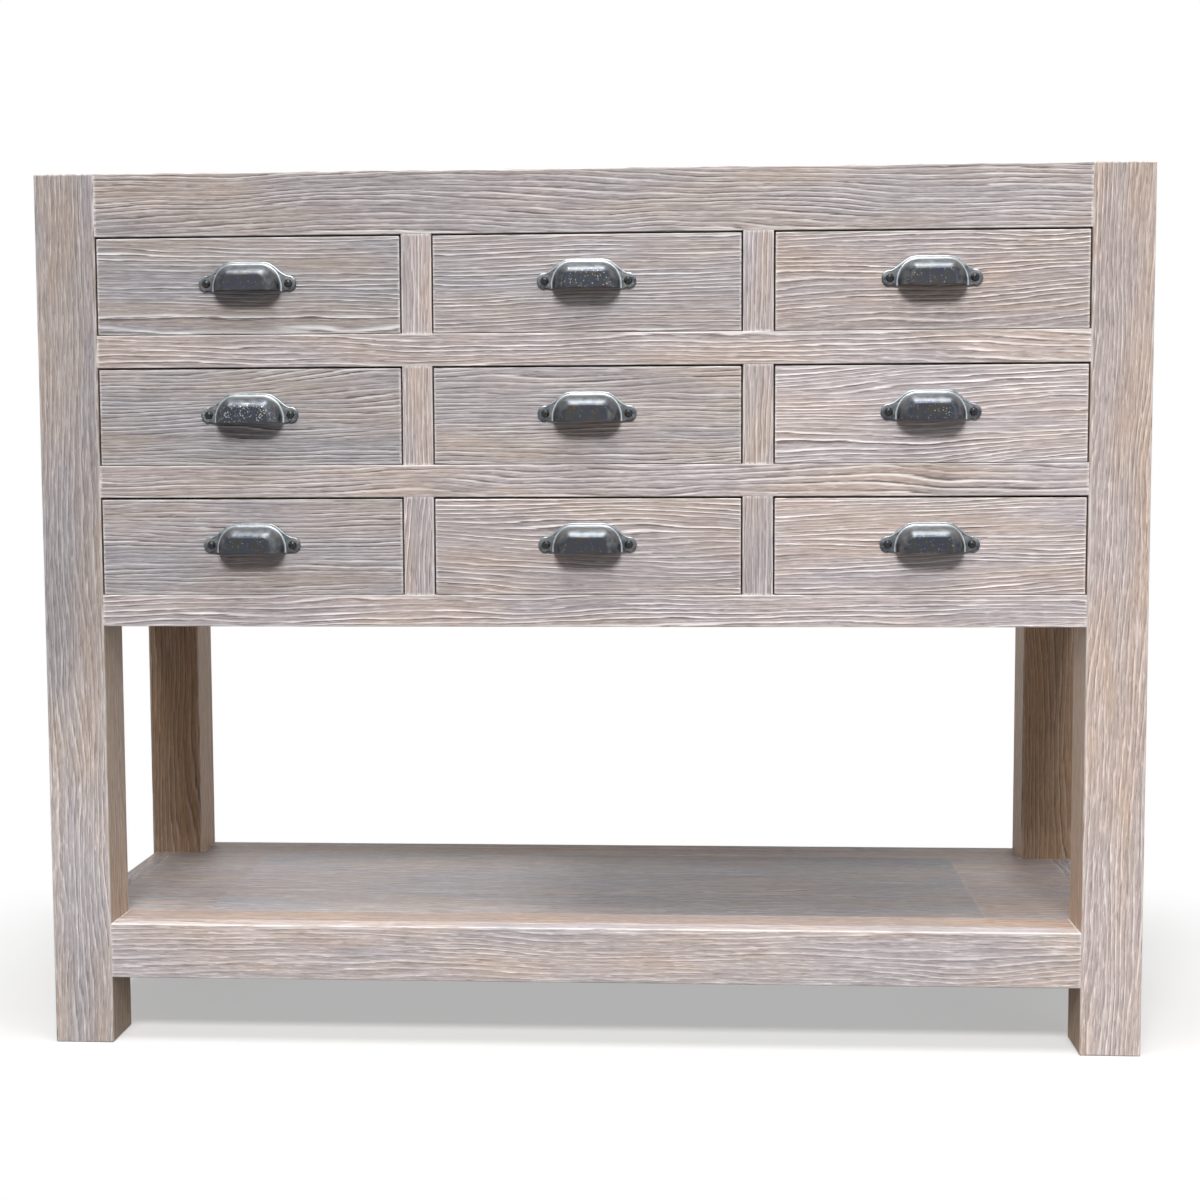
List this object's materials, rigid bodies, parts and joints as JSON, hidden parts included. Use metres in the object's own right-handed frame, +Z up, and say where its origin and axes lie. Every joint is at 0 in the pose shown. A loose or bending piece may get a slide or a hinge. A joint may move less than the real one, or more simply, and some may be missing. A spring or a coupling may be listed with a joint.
{
  "type": "chest of drawers",
  "caption": "Floor-standing chest of drawers on square legs: rows of inset drawers with cup pulls slide out on wooden runners above a low open shelf.",
  "frame": {"origin": "on the floor, at the centre of the whole footprint with the cup pulls counted in", "axes": "+Z up, +X to the viewer's right along the front, +Y from the front to the back; the drawers open towards -Y"},
  "size_m": [1.1, 0.425, 0.88],
  "materials": {
    "limed_oak": "wire-brushed and limed, matt",
    "bare_pine": "planed, unfinished",
    "birch_plywood": "sanded, unfinished",
    "antique_iron": "cast, antiqued and rubbed bright on the edges",
    "black_steel": "black lacquer, satin"
  },
  "bodies": {
    "carcass": {"front_left_leg": "limed_oak", "front_right_leg": "limed_oak", "rear_left_leg": "limed_oak", "rear_right_leg": "limed_oak", "front_top_rail": "limed_oak", "upper_drawer_rail": "limed_oak", "lower_drawer_rail": "limed_oak", "front_bottom_rail": "limed_oak", "drawer_stiles": "limed_oak", "left_side_rails": "limed_oak", "right_side_rails": "limed_oak", "left_side_panel": "limed_oak", "right_side_panel": "limed_oak", "top_panel": "limed_oak", "shelf_front_rail": "limed_oak", "shelf_rear_rail": "limed_oak", "shelf_end_rails": "limed_oak", "shelf_boards": "limed_oak", "rear_rails": "bare_pine", "panel_cleats": "bare_pine", "drawer_runners": "bare_pine", "drawer_guides": "bare_pine", "drawer_stops": "bare_pine", "back_panel": "birch_plywood"},
    "top_left_drawer": {"top_left_drawer_front": "limed_oak", "top_left_drawer_box": "bare_pine", "top_left_drawer_pull": "antique_iron", "top_left_drawer_screws": "black_steel"},
    "top_centre_drawer": {"top_centre_drawer_front": "limed_oak", "top_centre_drawer_box": "bare_pine", "top_centre_drawer_pull": "antique_iron", "top_centre_drawer_screws": "black_steel"},
    "top_right_drawer": {"top_right_drawer_front": "limed_oak", "top_right_drawer_box": "bare_pine", "top_right_drawer_pull": "antique_iron", "top_right_drawer_screws": "black_steel"},
    "middle_left_drawer": {"middle_left_drawer_front": "limed_oak", "middle_left_drawer_box": "bare_pine", "middle_left_drawer_pull": "antique_iron", "middle_left_drawer_screws": "black_steel"},
    "middle_centre_drawer": {"middle_centre_drawer_front": "limed_oak", "middle_centre_drawer_box": "bare_pine", "middle_centre_drawer_pull": "antique_iron", "middle_centre_drawer_screws": "black_steel"},
    "middle_right_drawer": {"middle_right_drawer_front": "limed_oak", "middle_right_drawer_box": "bare_pine", "middle_right_drawer_pull": "antique_iron", "middle_right_drawer_screws": "black_steel"},
    "bottom_left_drawer": {"bottom_left_drawer_front": "limed_oak", "bottom_left_drawer_box": "bare_pine", "bottom_left_drawer_pull": "antique_iron", "bottom_left_drawer_screws": "black_steel"},
    "bottom_centre_drawer": {"bottom_centre_drawer_front": "limed_oak", "bottom_centre_drawer_box": "bare_pine", "bottom_centre_drawer_pull": "antique_iron", "bottom_centre_drawer_screws": "black_steel"},
    "bottom_right_drawer": {"bottom_right_drawer_front": "limed_oak", "bottom_right_drawer_box": "bare_pine", "bottom_right_drawer_pull": "antique_iron", "bottom_right_drawer_screws": "black_steel"}
  },
  "joints": [
    {"name": "top_left_drawer_slide", "type": "slide", "parent": "carcass", "child": "top_left_drawer", "axis": [0, -1, 0], "range_m": [0, 0.25]},
    {"name": "top_centre_drawer_slide", "type": "slide", "parent": "carcass", "child": "top_centre_drawer", "axis": [0, -1, 0], "range_m": [0, 0.25]},
    {"name": "top_right_drawer_slide", "type": "slide", "parent": "carcass", "child": "top_right_drawer", "axis": [0, -1, 0], "range_m": [0, 0.25]},
    {"name": "middle_left_drawer_slide", "type": "slide", "parent": "carcass", "child": "middle_left_drawer", "axis": [0, -1, 0], "range_m": [0, 0.25]},
    {"name": "middle_centre_drawer_slide", "type": "slide", "parent": "carcass", "child": "middle_centre_drawer", "axis": [0, -1, 0], "range_m": [0, 0.25]},
    {"name": "middle_right_drawer_slide", "type": "slide", "parent": "carcass", "child": "middle_right_drawer", "axis": [0, -1, 0], "range_m": [0, 0.25]},
    {"name": "bottom_left_drawer_slide", "type": "slide", "parent": "carcass", "child": "bottom_left_drawer", "axis": [0, -1, 0], "range_m": [0, 0.25]},
    {"name": "bottom_centre_drawer_slide", "type": "slide", "parent": "carcass", "child": "bottom_centre_drawer", "axis": [0, -1, 0], "range_m": [0, 0.25]},
    {"name": "bottom_right_drawer_slide", "type": "slide", "parent": "carcass", "child": "bottom_right_drawer", "axis": [0, -1, 0], "range_m": [0, 0.25]}
  ]
}
